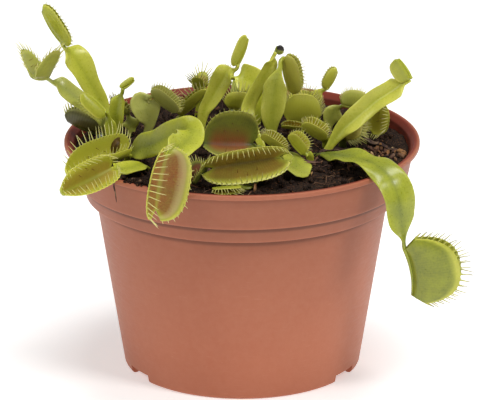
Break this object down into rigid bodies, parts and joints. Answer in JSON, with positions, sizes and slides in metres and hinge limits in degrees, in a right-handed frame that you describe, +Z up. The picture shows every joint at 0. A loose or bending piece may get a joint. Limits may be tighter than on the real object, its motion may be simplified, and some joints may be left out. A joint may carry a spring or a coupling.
{
  "type": "potted venus flytrap",
  "caption": "Venus flytrap in a round nursery pot of peat: winged leaf stalks, hinged two-lobed traps with toothed margins, some reaching far over the rim.",
  "frame": {"origin": "middle of the pot's foot ring, on the surface the pot stands on, which is also within 1.3 mm of the middle of the whole plant's footprint", "axes": "+Z up along the pot's axis; the side with the hanging leaf and the open front traps faces -Y"},
  "size_m": [0.1517, 0.1432, 0.1251],
  "materials": {
    "terracotta_plastic": "moulded plastic, satin, slightly scuffed",
    "peat": "damp peat with fibres and bark crumbs",
    "leaf": "soft leaf, satin, trap interiors red-brown"
  },
  "bodies": {
    "root": {"pot": "terracotta_plastic", "peat": "peat", "leaf_reach_high": "leaf", "leaf_reach_wide": "leaf", "leaf_behind_left": "leaf", "leaf_folded_back": "leaf", "leaf_rim_left": "leaf", "leaf_spoon_left": "leaf", "leaf_dome_back": "leaf", "leaf_rim_front": "leaf", "leaf_spread_left": "leaf", "leaf_spread_left_low": "leaf", "leaf_front_wide": "leaf", "leaf_front_low": "leaf", "leaf_centre_red": "leaf", "leaf_tall_spoon": "leaf", "leaf_strip_back": "leaf", "leaf_back_rim": "leaf", "leaf_broad_back": "leaf", "leaf_curved_tall": "leaf", "leaf_upright_cup": "leaf", "leaf_round_back": "leaf", "leaf_rolled_small": "leaf", "leaf_short_yellow": "leaf", "leaf_right_open": "leaf", "leaf_right_reach": "leaf", "leaf_right_dark": "leaf", "leaf_white_lashes": "leaf", "leaf_c_shape": "leaf", "leaf_lashes_up": "leaf", "leaf_drooping": "leaf", "leaf_dark_small": "leaf", "leaf_centre_back": "leaf", "leaf_far_left": "leaf", "leaf_far_middle": "leaf", "leaf_far_right": "leaf", "leaf_right_up": "leaf"}
  },
  "joints": []
}
